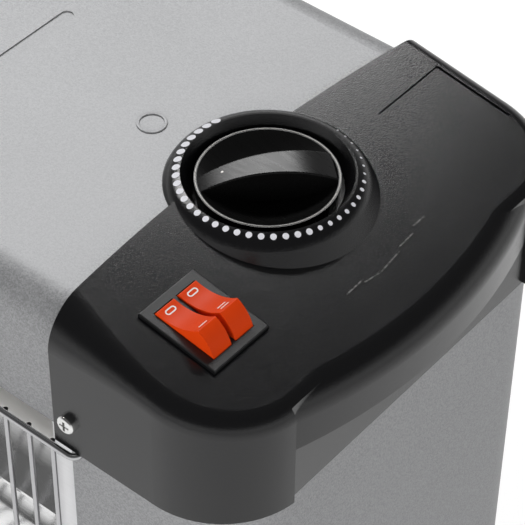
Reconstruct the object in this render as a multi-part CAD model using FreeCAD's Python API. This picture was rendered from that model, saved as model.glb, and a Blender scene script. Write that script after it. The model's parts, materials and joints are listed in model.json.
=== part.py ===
"""Landscape quartz heater: sheet-metal body, moulded end caps, thermostat dial and twin rocker switch.

Units are millimetres. +Z is up, the guard faces -Y and the controls are at the +X end.
The origin is on the floor, under the middle of the heater.
"""
import FreeCAD
import Part
import math
import os

V = FreeCAD.Vector
PARTS_DIR = "parts"

# Driving dimensions: body
body_length = 520.0
body_depth = 178.0
body_top = 346.0
base_height = 28.0
sheet = 1.0
roll_radius = 14.0
apron_drop = 48.6
panel_corner = 30.0
panel_top_drop = 26.0
margin_width = 67.4
opening_bottom = 70.0
pan_flange = 15.0
rear_lap = 12.0
slot_count = 11
slot_length = 24.0
slot_width = 5.0
slot_pitch = 30.0
slot_row_drop = 75.0
slot_row_rise = 62.0
bead_length = 48.0
bead_width = 5.0
bead_depth = 0.5
bead_offset = 92.0

# Driving dimensions: end caps
cap_wall = 2.0
cap_gap = 0.2
cap_end_gap = 1.6
cap_skirt_drop = 53.3
cap_corner = 33.0
cap_slope = 9.0
cap_lip = 1.6
cap_edge_inset = 75.6
cap_edge_radius = 710.0
cap_edge_y = -13.4
cap_lap = 2.5
cap_flange = 6.0
cap_front_round = 15.0
cap_rear_round = 7.0
grip_half = 62.5
grip_recess = 2.2
grip_lip_drop = 31.0
grip_lip_reach = 8.2
grip_lip_round = 10.0
blank_length = 31.3
blank_width = 32.9
blank_depth = 0.6
blank_x = 21.8
blank_rear = 23.8

# Driving dimensions: dial, knob and thermostat
dial_inset = 60.6
dial_y = 1.0
crest_height = 4.0
crest_inner = 28.2
crest_lean = 12.0
crest_round = 7.0
shoulder_radius = 32.2
flank_run = 0.55
well_radius = 25.0
well_wall = 2.2
well_depth = 12.0
well_flare_drop = 2.0
knob_radius = 23.8
knob_rim_height = 1.7
knob_rim_width = 0.9
knob_base_drop = 9.0
knob_bowl_depth = 7.0
knob_bar_width = 12.7
knob_bar_tip_width = 7.0
knob_bar_tip_drop = 1.1
knob_bar_arch = 5.9
knob_bar_tail_rise = 1.5
knob_bar_tail_gap = 1.7
knob_bar_round = 0.5
knob_bar_angle = 49.0
knob_skin = 1.0
knob_wall = 2.5
knob_hub_radius = 6.5
shaft_radius = 3.0
shaft_top_drop = 1.0
fit_gap = 0.05
bush_radius = 4.8
nut_across = 14.0
nut_height = 2.2
thermostat_length = 36.0
thermostat_width = 28.0
thermostat_height = 17.0
thermostat_corner = 3.0

# Driving dimensions: twin rocker switch
switch_x = 23.3
switch_front = 33.4
bezel_length = 31.0
bezel_width = 25.4
bezel_height = 1.4
switch_body_length = 29.2
switch_body_width = 21.4
switch_body_depth = 19.0
switch_clearance = 0.3
rocker_radius = 13.1
rocker_width = 8.2
rocker_spacing = 10.2
rocker_crest_angle = 49.5
rocker_dish = 2.2
rocker_edge_round = 0.5
rocker_tilt = 20.0
rocker_gap = 0.35
rocker_side_gap = 0.2
pivot_drop = 5.5
trunnion_radius = 1.5
trunnion_length = 0.7
blade_width = 4.8
blade_thick = 0.8
blade_length = 8.0

# Driving dimensions: reflector, tubes and guard
reflector_sheet = 0.8
cheek_inset = 78.0
cheek_flange = 8.5
cheek_flange_drop = 1.6
reflector_setback = 5.0
trough_depth = 60.0
ridge_depth = 31.5
cheek_depth = 64.0
tube_radius = 6.0
tube_wall = 1.0
tube_depth = 29.0
tube_overrun = 14.0
tube_hole_gap = 1.0
coil_radius = 3.2
coil_lead_radius = 1.0
ceramic_radius = 8.0
ceramic_length = 22.0
ceramic_socket = 10.0
bracket_offset = 18.0
bracket_half_width = 20.0
bracket_flange = 12.0
guard_frame_radius = 1.2
guard_wire_radius = 0.9
guard_wire_pitch = 10.4
guard_stand_off = 3.6
guard_weld = 0.5
guard_drop = 54.8
guard_foot_drop = 6.0
guard_overlap = 5.8
guard_bend = 3.0
guard_hole_gap = 0.3

# Driving dimensions: base, feet and electrical pieces
foot_inset = 60.0
foot_width = 46.0
foot_length = 210.0
foot_top_length = 168.0
foot_arch = 5.0
foot_arch_half = 66.0
foot_bottom = 3.0
pad_radius = 9.0
pad_seat = 1.5
pad_gap = 0.1
pad_reach = 88.0
plunger_inset = 140.0
plunger_y = 24.0
plunger_radius = 4.0
plunger_head_radius = 6.0
plunger_head = 2.0
plunger_travel = 8.0
plunger_gap = 0.3
tip_box_length = 30.0
tip_box_width = 20.0
tip_box_height = 26.0
block_length = 42.0
block_width = 20.0
block_height = 17.0
block_inset = 35.0
block_setback = 59.0
gland_radius = 7.0
gland_head = 10.0
gland_inset = 46.0
gland_z = 58.0
cutout_radius = 8.0
cutout_height = 7.0

# Driving dimensions: screws
screw_radius = 1.7
screw_hole = 1.8
screw_head_radius = 3.4
screw_head_height = 2.3
screw_length = 7.0
cap_screw_inset = 4.0
cap_screw_drop = 40.5

# Derived places
half_length = body_length / 2
half_depth = body_depth / 2
dial_x = half_length - dial_inset
floor_top = base_height + sheet
opening_top = body_top - apron_drop
opening_half = half_length - margin_width
panel_face = half_depth - sheet
reflector_front = half_depth - reflector_setback
tube_y = tube_depth - reflector_front
plunger_x = plunger_inset - half_length
block_x = half_length - block_inset
block_y = half_depth - block_setback
gland_x = half_length - gland_inset
cap_inner_half = half_depth + cap_gap
cap_half = cap_inner_half + cap_wall
cap_end = half_length + cap_end_gap + cap_wall
cap_apex = half_length - cap_edge_inset
cap_skirt = body_top - cap_skirt_drop
switch_y = switch_front - cap_half - dial_y
blank_y = cap_half - blank_rear - dial_y
slope_tan = math.tan(math.radians(cap_slope))
slope_cos = math.cos(math.radians(cap_slope))


def edge_x(y, shift):
    """X of the curved inner edge of an end cap at depth y, moved outwards by shift."""
    return cap_apex + shift + cap_edge_radius - math.sqrt(cap_edge_radius ** 2 - (y - cap_edge_y) ** 2)


slope_x = edge_x(-cap_half, 0.0)
slope_z = body_top + cap_lip


def slope_height(x):
    """Height of the sloped cap top at x."""
    return slope_z - slope_tan * (x - slope_x)


# Shape helpers
def box(x0, x1, y0, y1, z0, z1):
    """Box between two corners."""
    return Part.makeBox(x1 - x0, y1 - y0, z1 - z0, V(x0, y0, z0))


def cylinder(radius, start, direction, length):
    """Cylinder from a start point along a direction."""
    return Part.makeCylinder(radius, length, start, direction)


def line(a, b):
    """Straight edge."""
    return Part.LineSegment(a, b).toShape()


def arc(a, b, c):
    """Circular edge through three points."""
    return Part.Arc(a, b, c).toShape()


def extruded(edges, direction):
    """Solid swept straight from a closed outline."""
    return Part.Face(Part.Wire(edges)).extrude(direction)


def polygon(points):
    """Edges of a closed polygon."""
    return [line(points[i], points[(i + 1) % len(points)]) for i in range(len(points))]


def mirrored(shape):
    """Copy for the left end."""
    return shape.mirror(V(0, 0, 0), V(1, 0, 0))


def fused(shapes):
    """One solid from touching or crossing shapes."""
    result = shapes[0]
    for other in shapes[1:]:
        result = result.fuse(other)
    return result.removeSplitter()


def rounded_plan(half_x, half_y, radius, z0, z1):
    """Upright block with a round-cornered rectangular plan."""
    block = box(-half_x, half_x, -half_y, half_y, z0, z1)
    upright = [e for e in block.Edges if abs(e.Vertexes[0].Z - e.Vertexes[1].Z) > 1e-6]
    return block.makeFillet(radius, upright)


def sloped_place(x, y):
    """Placement of a piece that sits on the sloped cap top, given relative to the dial axis."""
    px = dial_x + x
    turn = FreeCAD.Rotation(V(0, 1, 0), cap_slope)
    return FreeCAD.Placement(V(px, dial_y + y, slope_height(px)), turn)


def above_slope(inset):
    """Everything above the sloped cap top, lowered by inset."""
    reach = 2 * body_length
    block = Part.makeBox(reach, reach, reach, V(-reach / 2, -reach / 2, 0))
    turn = FreeCAD.Rotation(V(0, 1, 0), cap_slope)
    block.Placement = FreeCAD.Placement(V(slope_x, 0, slope_z - inset / slope_cos), turn)
    return block


# End caps
def cap_edge_prism(shift, z0, z1):
    """Everything inboard of the curved cap edge."""
    inner = cap_apex - body_depth
    front = V(edge_x(-cap_half, shift), -cap_half, z0)
    rear = V(edge_x(cap_half, shift), cap_half, z0)
    edges = [line(V(inner, -cap_half, z0), front), arc(front, V(cap_apex + shift, cap_edge_y, z0), rear)]
    edges += [line(rear, V(inner, cap_half, z0)), line(V(inner, cap_half, z0), V(inner, -cap_half, z0))]
    return extruded(edges, V(0, 0, z1 - z0))


def cap_block(inset, shift):
    """Main body of the cap moulding, drawn in by inset, with its sloped and rounded top."""
    y = cap_half - inset
    x = cap_end - inset
    r = cap_corner - inset
    lean = r * (1 - math.sqrt(0.5))
    z = cap_skirt - inset
    front = V(edge_x(-y, shift), -y, z)
    rear = V(edge_x(y, shift), y, z)
    edges = [line(front, V(x - r, -y, z))]
    edges.append(arc(V(x - r, -y, z), V(x - lean, -y + lean, z), V(x, -y + r, z)))
    edges.append(line(V(x, -y + r, z), V(x, y - r, z)))
    edges.append(arc(V(x, y - r, z), V(x - lean, y - lean, z), V(x - r, y, z)))
    edges.append(line(V(x - r, y, z), rear))
    edges.append(arc(rear, V(cap_apex + shift, cap_edge_y, z), front))
    block = extruded(edges, V(0, 0, 2 * cap_skirt_drop)).cut(above_slope(inset))
    front_top = []
    for edge in block.Edges:
        middle = edge.valueAt((edge.FirstParameter + edge.LastParameter) / 2)
        on_front = abs(middle.y + y) < 1e-3
        if on_front and middle.z > slope_height(cap_end) - inset and edge.BoundBox.XLength > cap_wall:
            front_top.append(edge)
    return block.makeFillet(cap_front_round - inset, cap_rear_round - inset, front_top)


def lip_block(inset):
    """Bowed grip lip on the end of the cap, drawn in by inset."""
    y = grip_half - inset
    x = cap_end - grip_recess - inset
    apex = cap_end + grip_lip_reach - inset
    z = body_top - grip_lip_drop + inset
    inner = x - cap_corner / 2
    edges = [line(V(inner, -y, z), V(x, -y, z)), arc(V(x, -y, z), V(apex, 0, z), V(x, y, z))]
    edges += [line(V(x, y, z), V(inner, y, z)), line(V(inner, y, z), V(inner, -y, z))]
    block = extruded(edges, V(0, 0, 2 * grip_lip_drop)).cut(above_slope(inset))
    bow = []
    for edge in block.Edges:
        middle = edge.valueAt((edge.FirstParameter + edge.LastParameter) / 2)
        if middle.x > cap_end - inset and middle.z > z + 1.0:
            bow.append(edge)
    return block.makeFillet(grip_lip_round - inset, bow)


def cap_form(inset, shift):
    """Cap body with the grip pocket sunk in its end and the grip lip over it."""
    pocket = box(cap_end - grip_recess - inset, cap_end + cap_corner, -grip_half - inset, grip_half + inset,
                 cap_skirt - cap_wall - 1, body_top + cap_corner)
    return cap_block(inset, shift).cut(pocket).fuse(lip_block(inset))


def shell_envelope(inset, x0, x1, low):
    """Solid under the rolled top shell, drawn in by inset and reaching down to low."""
    y = half_depth - inset
    r = roll_radius - inset
    z = body_top - inset
    lean = r * (1 - math.sqrt(0.5))
    edges = [line(V(x0, -y, low), V(x0, -y, z - r))]
    edges.append(arc(V(x0, -y, z - r), V(x0, -y + lean, z - lean), V(x0, -y + r, z)))
    edges.append(line(V(x0, -y + r, z), V(x0, y - r, z)))
    edges.append(arc(V(x0, y - r, z), V(x0, y - lean, z - lean), V(x0, y, z - r)))
    edges += [line(V(x0, y, z - r), V(x0, y, low)), line(V(x0, y, low), V(x0, -y, low))]
    return extruded(edges, V(x1 - x0, 0, 0))


def screw_places():
    """Front and rear cap screw centres at the right end."""
    x = dial_x - cap_screw_inset
    z = body_top - cap_screw_drop
    return [(V(x, -cap_half, z), V(0, 1, 0)), (V(x, cap_half, z), V(0, -1, 0))]


def screw(head_face, inward):
    """Pan-head screw driven inwards, its head on the outer face."""
    shank = cylinder(screw_radius, head_face, inward, screw_length)
    start = head_face - inward * screw_head_height
    head = cylinder(screw_head_radius, start, inward, screw_head_height)
    rim = [e for e in head.Edges if e.Closed and (e.CenterOfMass - start).Length < 0.1]
    return fused([head.makeFillet(screw_head_height * 0.6, rim), shank])


def screw_holes(places):
    """Clearance holes for screws at the given places."""
    return [cylinder(screw_hole, p - d * screw_length, d, 3 * screw_length) for p, d in places]


def end_cap():
    """Plain end cap for the right end, open inside and lapped over the top shell."""
    wall_shift = cap_lap + cap_gap + cap_wall
    cap = cap_form(0.0, 0.0).cut(cap_form(cap_wall, wall_shift))
    envelope = shell_envelope(0.0, dial_x - body_depth, half_length, body_top - apron_drop)
    lapped = envelope.common(cap_edge_prism(cap_lap + cap_gap, cap_skirt - 1, body_top + cap_corner))
    inner = dial_x - body_depth
    open_end = edge_x(cap_half, wall_shift)
    roll_foot = body_top - roll_radius - cap_gap
    flat = half_depth - roll_radius
    open_side = fused([box(inner, open_end, -cap_inner_half, cap_inner_half, cap_skirt - cap_wall, roll_foot),
                       box(inner, open_end, -flat, flat, roll_foot, body_top - cap_flange)])
    cap = cap.cut(lapped).cut(open_side)
    for hole in screw_holes(screw_places()):
        cap = cap.cut(hole)
    return cap


def dial_axis_ring(points):
    """Turned solid about the dial axis from (radius, height over the body top) points."""
    outline = [V(dial_x + r, dial_y, body_top + z) for r, z in points]
    face = Part.Face(Part.Wire(polygon(outline)))
    return face.revolve(V(dial_x, dial_y, 0), V(0, 0, 1), 360)


def control_housing():
    """Right end cap with the dial boss, its well, the switch opening and the blanked switch place."""
    cap = end_cap()
    foot_drop = slope_tan * (dial_x + shoulder_radius - slope_x) + cap_wall
    lean = math.tan(math.radians(crest_lean))
    shoulder = crest_height - lean * (shoulder_radius - crest_inner)
    foot_radius = shoulder_radius + flank_run * (shoulder + foot_drop)
    outer_well = well_radius + well_wall
    flank = dial_axis_ring([(outer_well, -foot_drop), (foot_radius, -foot_drop), (shoulder_radius, shoulder),
                            (outer_well, crest_height + lean * (crest_inner - outer_well))])
    rims = [e for e in flank.Edges if e.Closed and abs(e.Curve.Radius - shoulder_radius) < 0.1]
    flank = flank.makeFillet(crest_round, rims)
    lapped = shell_envelope(0.0, dial_x - body_depth, half_length, body_top - apron_drop).common(
        cap_edge_prism(cap_lap + cap_gap, cap_skirt, body_top + cap_corner))
    cup = dial_axis_ring([(0, -well_depth - cap_wall), (outer_well, -well_depth - cap_wall),
                          (outer_well, crest_height), (0, crest_height)])
    well = dial_axis_ring([(0, -well_depth), (well_radius, -well_depth), (well_radius, -well_flare_drop),
                           (crest_inner, crest_height), (crest_inner, crest_height + 1), (0, crest_height + 1)])
    bush_hole = cylinder(bush_radius + cap_gap, V(dial_x, dial_y, body_top - 2 * well_depth), V(0, 0, 1),
                         2 * well_depth)
    blank = box(-blank_length / 2, blank_length / 2, -blank_width / 2, blank_width / 2, -blank_depth, 1)
    blank.Placement = sloped_place(blank_x, blank_y)
    opening_x = switch_body_length / 2 + switch_clearance
    opening_y = switch_body_width / 2 + switch_clearance
    opening = box(-opening_x, opening_x, -opening_y, opening_y, -switch_body_depth, bezel_height)
    opening.Placement = sloped_place(switch_x, switch_y)
    housing = cap.fuse(flank.cut(lapped)).fuse(cup)
    return housing.cut(well).cut(bush_hole).cut(blank).cut(opening).removeSplitter()


# Sheet-metal body
def top_shell():
    """Folded top with rolled front and rear edges, shaped to the cap edges and pressed with two beads."""
    reach = dial_x + cap_screw_inset
    shell = shell_envelope(0.0, -reach, reach, body_top - apron_drop)
    shell = shell.cut(shell_envelope(sheet, -reach - 1, reach + 1, base_height))
    step = body_top - roll_radius - cap_wall
    beyond = box(dial_x - body_depth, reach + 1, -body_depth, body_depth, step, body_top + 1)
    beyond = beyond.cut(cap_edge_prism(cap_lap, step - 1, body_top + 2))
    well_cut = cylinder(well_radius + well_wall + cap_gap, V(dial_x, dial_y, step), V(0, 0, 1),
                        2 * roll_radius)
    shell = shell.cut(beyond).cut(mirrored(beyond)).cut(well_cut)
    for side in (-1, 1):
        shell = shell.cut(obround(side * bead_offset, 0, bead_length, bead_width, body_top - bead_depth))
    for hole in screw_holes(screw_places()):
        shell = shell.cut(hole).cut(mirrored(hole))
    return shell


def obround(x, y, length, width, z):
    """Round-ended bar along Y, for cutting beads from above."""
    r = width / 2
    straight = length / 2 - r
    bar = box(x - r, x + r, y - straight, y + straight, z, z + width)
    ends = [cylinder(r, V(x, y + s * straight, z), V(0, 0, 1), width) for s in (-1, 1)]
    return fused([bar] + ends)


def side_screw_places():
    """Right side panel screws into the side flange of the base pan."""
    z = floor_top + pan_flange / 2
    y = half_depth - 1.5 * panel_corner
    return [(V(half_length, s * y, z), V(-1, 0, 0)) for s in (-1, 1)]


def rear_screw_places():
    """Rear panel screws along both upright edges."""
    x = opening_half + rear_lap / 2
    rows = [opening_bottom, (opening_bottom + opening_top) / 2, opening_top - slot_width * 4]
    return [(V(s * x, panel_face, z), V(0, -1, 0)) for s in (-1, 1) for z in rows]


def guard_hook_x():
    """X of the guard ends that hook through the front margins."""
    return opening_half + guard_overlap


def guard_levels():
    """Heights of the top and bottom guard wires."""
    return [body_top - guard_drop, opening_bottom - guard_foot_drop]


def side_panel():
    """Right side panel, folded round both corners, with a hand notch at its top."""
    top = body_top - panel_top_drop
    block = rounded_plan(half_length, panel_face, panel_corner, base_height, top)
    inner = rounded_plan(half_length - sheet, panel_face - sheet, panel_corner - sheet, base_height - 1,
                         top + 1)
    inboard = box(-half_length, opening_half, -half_depth, half_depth, base_height - 1, top + 1)
    notch = box(half_length - panel_corner / 2, half_length + 1, -grip_half - cap_wall, grip_half + cap_wall,
                cap_skirt - cap_gap, top + 1)
    panel = block.cut(inner).cut(inboard).cut(notch)
    holes = screw_holes(screw_places()) + screw_holes(side_screw_places())
    for z in guard_levels():
        hook = V(guard_hook_x(), -half_depth - guard_stand_off, z)
        holes.append(cylinder(guard_frame_radius + guard_hole_gap, hook, V(0, 1, 0), 3 * guard_stand_off))
    for place, inward in rear_screw_places():
        holes.append(cylinder(screw_hole, place - inward, inward, 3 * sheet))
    for hole in holes:
        panel = panel.cut(hole)
    return panel


def right_side_panel():
    """Right side panel with the hole for the cable gland."""
    hole = cylinder(gland_radius + cap_gap, V(gland_x, half_depth, gland_z), V(0, -1, 0), 3 * gland_radius)
    return side_panel().cut(hole)


def rear_panel():
    """Flat rear panel with two rows of vent slots."""
    x = opening_half + rear_lap
    face = panel_face - sheet
    panel = box(-x, x, face - sheet, face, floor_top + pan_flange + cap_gap, body_top - panel_top_drop)
    for row in (body_top - slot_row_drop, floor_top + slot_row_rise):
        for i in range(slot_count):
            centre = (i - (slot_count - 1) / 2) * slot_pitch
            r = slot_width / 2
            straight = slot_length / 2 - r
            bar = box(centre - r, centre + r, face - 2 * sheet, face + sheet, row - straight, row + straight)
            ends = [cylinder(r, V(centre, face - 2 * sheet, row + s * straight), V(0, 1, 0), 3 * sheet)
                    for s in (-1, 1)]
            panel = panel.cut(fused([bar] + ends))
    for hole in screw_holes(rear_screw_places()):
        panel = panel.cut(hole)
    for hole in screw_holes(screw_places()):
        panel = panel.cut(hole).cut(mirrored(hole))
    return panel


def pan_half_depth():
    """Half depth of the base pan, inside the side panels."""
    return panel_face - sheet - cap_gap


def foot_screw_places():
    """Foot screws, two in each foot, from below."""
    x = half_length - foot_inset
    y = foot_arch_half / 2
    return [V(sx * x, sy * y, base_height) for sx in (-1, 1) for sy in (-1, 1)]


def base_pan():
    """Folded base pan: floor, high front flange under the opening and low flanges elsewhere."""
    half_x = half_length - sheet - cap_gap
    half_y = pan_half_depth()
    corner = panel_corner - sheet - cap_gap
    block = rounded_plan(half_x, half_y, corner, base_height, opening_bottom)
    inner = rounded_plan(half_x - sheet, half_y - sheet, corner - sheet, floor_top, opening_bottom + 1)
    low = box(-half_length, half_length, -half_y + corner, half_depth, floor_top + pan_flange,
              opening_bottom + 1)
    pan = block.cut(inner).cut(low)
    for x in (-half_length, half_length - panel_corner):
        pan = pan.cut(box(x, x + panel_corner, -half_depth, 0, floor_top + pan_flange, opening_bottom + 1))
    holes = screw_holes(side_screw_places())
    holes += [mirrored(hole) for hole in holes]
    for place in foot_screw_places():
        holes.append(cylinder(screw_hole, place - V(0, 0, sheet), V(0, 0, 1), 3 * sheet))
    for side in (-1, 1):
        hook = V(side * guard_hook_x(), -half_depth, guard_levels()[1])
        holes.append(cylinder(guard_frame_radius + guard_hole_gap, hook, V(0, 1, 0), panel_corner))
    rod = V(plunger_x, plunger_y, 0)
    holes.append(cylinder(plunger_radius + plunger_gap, rod, V(0, 0, 1), 2 * base_height))
    for hole in holes:
        pan = pan.cut(hole)
    return pan


# Knob and thermostat
def knob_bar():
    """Finger bar across the knob, arched along its length and narrowing towards the pointer end."""
    side = knob_radius - knob_rim_width / 2
    floor = -knob_base_drop / 2
    end = side - knob_bar_tail_gap
    tip = V(-side, 0, knob_rim_height - knob_bar_tip_drop)
    tail = V(end, 0, knob_rim_height + knob_bar_tail_rise)
    crown = V(0, 0, knob_rim_height + knob_bar_arch)
    edges = [line(V(-side, 0, floor), tip), arc(tip, crown, tail)]
    edges += [line(tail, V(end, 0, floor)), line(V(end, 0, floor), V(-side, 0, floor))]
    bar = extruded(edges, V(0, knob_bar_width, 0))
    bar.translate(V(0, -knob_bar_width / 2, 0))
    corners = [V(-side, -knob_bar_tip_width / 2, floor), V(end, -knob_bar_width / 2, floor),
               V(end, knob_bar_width / 2, floor), V(-side, knob_bar_tip_width / 2, floor)]
    bar = bar.common(extruded(polygon(corners), V(0, 0, 2 * knob_base_drop)))
    ridge = [e for e in bar.Edges if e.Length > side and e.CenterOfMass.z > knob_rim_height]
    bar = bar.makeFillet(knob_bar_round, ridge)
    return bar.common(cylinder(side, V(0, 0, floor), V(0, 0, 1), 2 * knob_base_drop))


def knob():
    """Dished knob with a finger bar arched across it and a hub on the thermostat shaft."""
    low = -knob_base_drop
    rim = knob_rim_height
    bowl_radius = knob_radius - knob_rim_width
    disc = dial_axis_ring([(0, low), (knob_radius - knob_skin, low), (knob_radius, rim), (0, rim)])
    sphere = (bowl_radius ** 2 + knob_bowl_depth ** 2) / (2 * knob_bowl_depth)
    bowl = Part.makeSphere(sphere, V(dial_x, dial_y, body_top + rim - knob_bowl_depth + sphere))
    bar = knob_bar()
    bar.rotate(V(0, 0, 0), V(0, 0, 1), knob_bar_angle)
    bar.translate(V(dial_x, dial_y, body_top))
    hollow = dial_axis_ring([(knob_hub_radius, low - 1), (knob_radius - knob_wall, low - 1),
                             (knob_radius - knob_wall, low + knob_skin), (knob_hub_radius, low + knob_skin)])
    bore = cylinder(shaft_radius + fit_gap, V(dial_x, dial_y, body_top + low - 1), V(0, 0, 1),
                    knob_base_drop + 1 - shaft_top_drop + fit_gap)
    return disc.cut(bowl).fuse(bar).cut(hollow).cut(bore).removeSplitter()


def thermostat_top():
    """Height of the thermostat's mounting face, under the well floor."""
    return body_top - well_depth - cap_wall


def thermostat_body():
    """Thermostat case with its bush and two terminal blades."""
    top = thermostat_top()
    case = box(dial_x - thermostat_length / 2, dial_x + thermostat_length / 2, dial_y - thermostat_width / 2,
               dial_y + thermostat_width / 2, top - thermostat_height, top)
    upright = [e for e in case.Edges if abs(e.Vertexes[0].Z - e.Vertexes[1].Z) > 1e-6]
    case = case.makeFillet(thermostat_corner, upright)
    bush = cylinder(bush_radius, V(dial_x, dial_y, top), V(0, 0, 1), cap_wall + nut_height)
    pieces = [case, bush]
    for s in (-1, 1):
        x = dial_x + s * thermostat_length / 4
        low = top - thermostat_height
        x0 = x - blade_thick / 2
        y0 = dial_y - blade_width / 2
        blade = box(x0, x0 + blade_thick, y0, y0 + blade_width, low - blade_length, low)
        pieces.append(blade)
    bore = cylinder(shaft_radius + fit_gap, V(dial_x, dial_y, top - thermostat_height / 2), V(0, 0, 1),
                    2 * thermostat_height)
    return fused(pieces).cut(bore)


def thermostat_shaft():
    """Thermostat shaft, from the case up into the knob hub."""
    low = thermostat_top() - thermostat_height / 2 + fit_gap
    return cylinder(shaft_radius, V(dial_x, dial_y, low), V(0, 0, 1), body_top - shaft_top_drop - low)


def thermostat_nut():
    """Hexagon nut that holds the thermostat in the dial well."""
    corner = nut_across / math.sqrt(3)
    z = body_top - well_depth
    points = []
    for i in range(6):
        turn = math.radians(60 * i)
        points.append(V(dial_x + corner * math.cos(turn), dial_y + corner * math.sin(turn), z))
    nut = extruded(polygon(points), V(0, 0, nut_height))
    return nut.cut(cylinder(bush_radius + fit_gap, V(dial_x, dial_y, z - 1), V(0, 0, 1), 2 * nut_height))


# Twin rocker switch, drawn flat about its own centre and then set on the sloped cap top
pivot_z = bezel_height - pivot_drop


def rocker(side):
    """Rocker on the front (-1) or rear (+1) side, at rest with its raised end to +X."""
    y = side * rocker_spacing / 2
    half = rocker_width / 2
    body = cylinder(rocker_radius, V(0, y - half, 0), V(0, 1, 0), rocker_width)
    crest = math.radians(rocker_crest_angle)
    crest_x = rocker_radius * math.cos(crest)
    crest_z = rocker_radius * math.sin(crest)
    dish = (crest_x ** 2 + rocker_dish ** 2) / (2 * rocker_dish)
    body = body.cut(cylinder(dish, V(0, y - rocker_width, crest_z - rocker_dish + dish), V(0, 1, 0),
                             2 * rocker_width))
    reach = 2 * rocker_radius
    body = body.cut(box(-reach, reach, y - reach, y + reach, -reach, -rocker_radius / 2))
    top_edges = [e for e in body.Edges if e.BoundBox.ZMax > crest_z - 0.01 and e.BoundBox.YLength > half]
    body = body.makeFillet(rocker_edge_round, top_edges)
    trunnion = cylinder(trunnion_radius, V(0, y - half - trunnion_length, 0), V(0, 1, 0),
                        rocker_width + 2 * trunnion_length)
    body = fused([body, trunnion])
    body.rotate(V(0, 0, 0), V(0, 1, 0), -rocker_tilt)
    body.translate(V(0, 0, pivot_z))
    body.Placement = sloped_place(switch_x, switch_y).multiply(body.Placement)
    return body


def switch_frame():
    """Switch body with its bezel, two rocker wells and trunnion seats."""
    bezel = box(-bezel_length / 2, bezel_length / 2, -bezel_width / 2, bezel_width / 2, 0, bezel_height)
    top_edges = [e for e in bezel.Edges if e.BoundBox.ZMin > bezel_height - 1e-6]
    bezel = bezel.makeFillet(bezel_height / 3, top_edges)
    half_body = switch_body_length / 2
    body = box(-half_body, half_body, -switch_body_width / 2, switch_body_width / 2, -switch_body_depth, 0)
    frame = fused([body, bezel])
    well_half = rocker_width / 2 + rocker_side_gap
    for side in (-1, 1):
        y = side * rocker_spacing / 2
        frame = frame.cut(cylinder(rocker_radius + rocker_gap, V(0, y - well_half, pivot_z), V(0, 1, 0),
                                   2 * well_half))
    seat_half = rocker_spacing / 2 + rocker_width / 2 + trunnion_length + rocker_side_gap
    seat = cylinder(trunnion_radius + fit_gap, V(0, -seat_half, pivot_z), V(0, 1, 0), 2 * seat_half)
    frame = frame.cut(seat)
    frame.Placement = sloped_place(switch_x, switch_y)
    return frame


def switch_terminals():
    """Four blade terminals under the switch body."""
    blades = []
    for sx in (-1, 1):
        for sy in (-1, 1):
            x = sx * switch_body_length / 4
            y = sy * rocker_spacing / 2
            blade = box(x - blade_thick / 2, x + blade_thick / 2, y - blade_width / 2, y + blade_width / 2,
                        -switch_body_depth - blade_length, -switch_body_depth)
            blade.Placement = sloped_place(switch_x, switch_y)
            blades.append(blade)
    return Part.makeCompound(blades)


# Heating unit
cheek_x = half_length - cheek_inset
ridge_z = (opening_top + opening_bottom) / 2
trough_half = (opening_top - opening_bottom) / 2


def tube_heights():
    """Heights of the upper and lower tube axes."""
    return [ridge_z + trough_half / 2, ridge_z - trough_half / 2]


def circle_centre(a, b, c):
    """Centre and radius of the circle through three points in the YZ plane."""
    ring = arc(a, b, c).Curve
    return ring.Center, ring.Radius


def trough(direction):
    """One polished trough of the reflector, above (+1) or below (-1) the ridge."""
    front = V(-cheek_x, -reflector_front, ridge_z + direction * trough_half)
    back = V(-cheek_x, trough_depth - reflector_front, ridge_z + direction * trough_half / 2)
    ridge = V(-cheek_x, ridge_depth - reflector_front, ridge_z)
    centre, radius = circle_centre(front, back, ridge)
    outer = [p + (p - centre) * (reflector_sheet / radius) for p in (front, back, ridge)]
    edges = [arc(front, back, ridge), line(ridge, outer[2]), arc(outer[2], outer[1], outer[0])]
    edges.append(line(outer[0], front))
    return extruded(edges, V(2 * cheek_x, 0, 0))


def reflector():
    """Two-trough polished reflector."""
    return fused([trough(1), trough(-1)])


def reflector_cheek():
    """Right reflector cheek: end plate of the troughs with an outward front flange and tube holes."""
    front = pan_half_depth() - sheet - guard_hole_gap
    top = body_top - apron_drop + sheet
    rear = cheek_depth - reflector_front + 2 * reflector_sheet
    plate = box(cheek_x, cheek_x + reflector_sheet, -front, rear, floor_top, top)
    flange = box(cheek_x, cheek_x + cheek_flange, -front, -front + reflector_sheet, floor_top,
                 opening_top - cheek_flange_drop)
    cheek = fused([plate, flange])
    for z in tube_heights():
        cheek = cheek.cut(cylinder(tube_radius + tube_hole_gap, V(cheek_x - 1, tube_y, z), V(1, 0, 0), 3))
    return cheek


tube_end = cheek_x + tube_overrun


def quartz_tube(z):
    """Quartz tube across the heater."""
    start = V(-tube_end, tube_y, z)
    tube = cylinder(tube_radius, start, V(1, 0, 0), 2 * tube_end)
    return tube.cut(cylinder(tube_radius - tube_wall, start, V(1, 0, 0), 2 * tube_end))


def heating_coil(z):
    """Heating coil as its outer form, with a straight lead at each end."""
    half = tube_end - 2 * ceramic_socket / 3
    lead = tube_end + (ceramic_length - ceramic_socket)
    coil = cylinder(coil_radius, V(-half, tube_y, z), V(1, 0, 0), 2 * half)
    return fused([coil, cylinder(coil_lead_radius, V(-lead, tube_y, z), V(1, 0, 0), 2 * lead)])


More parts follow.
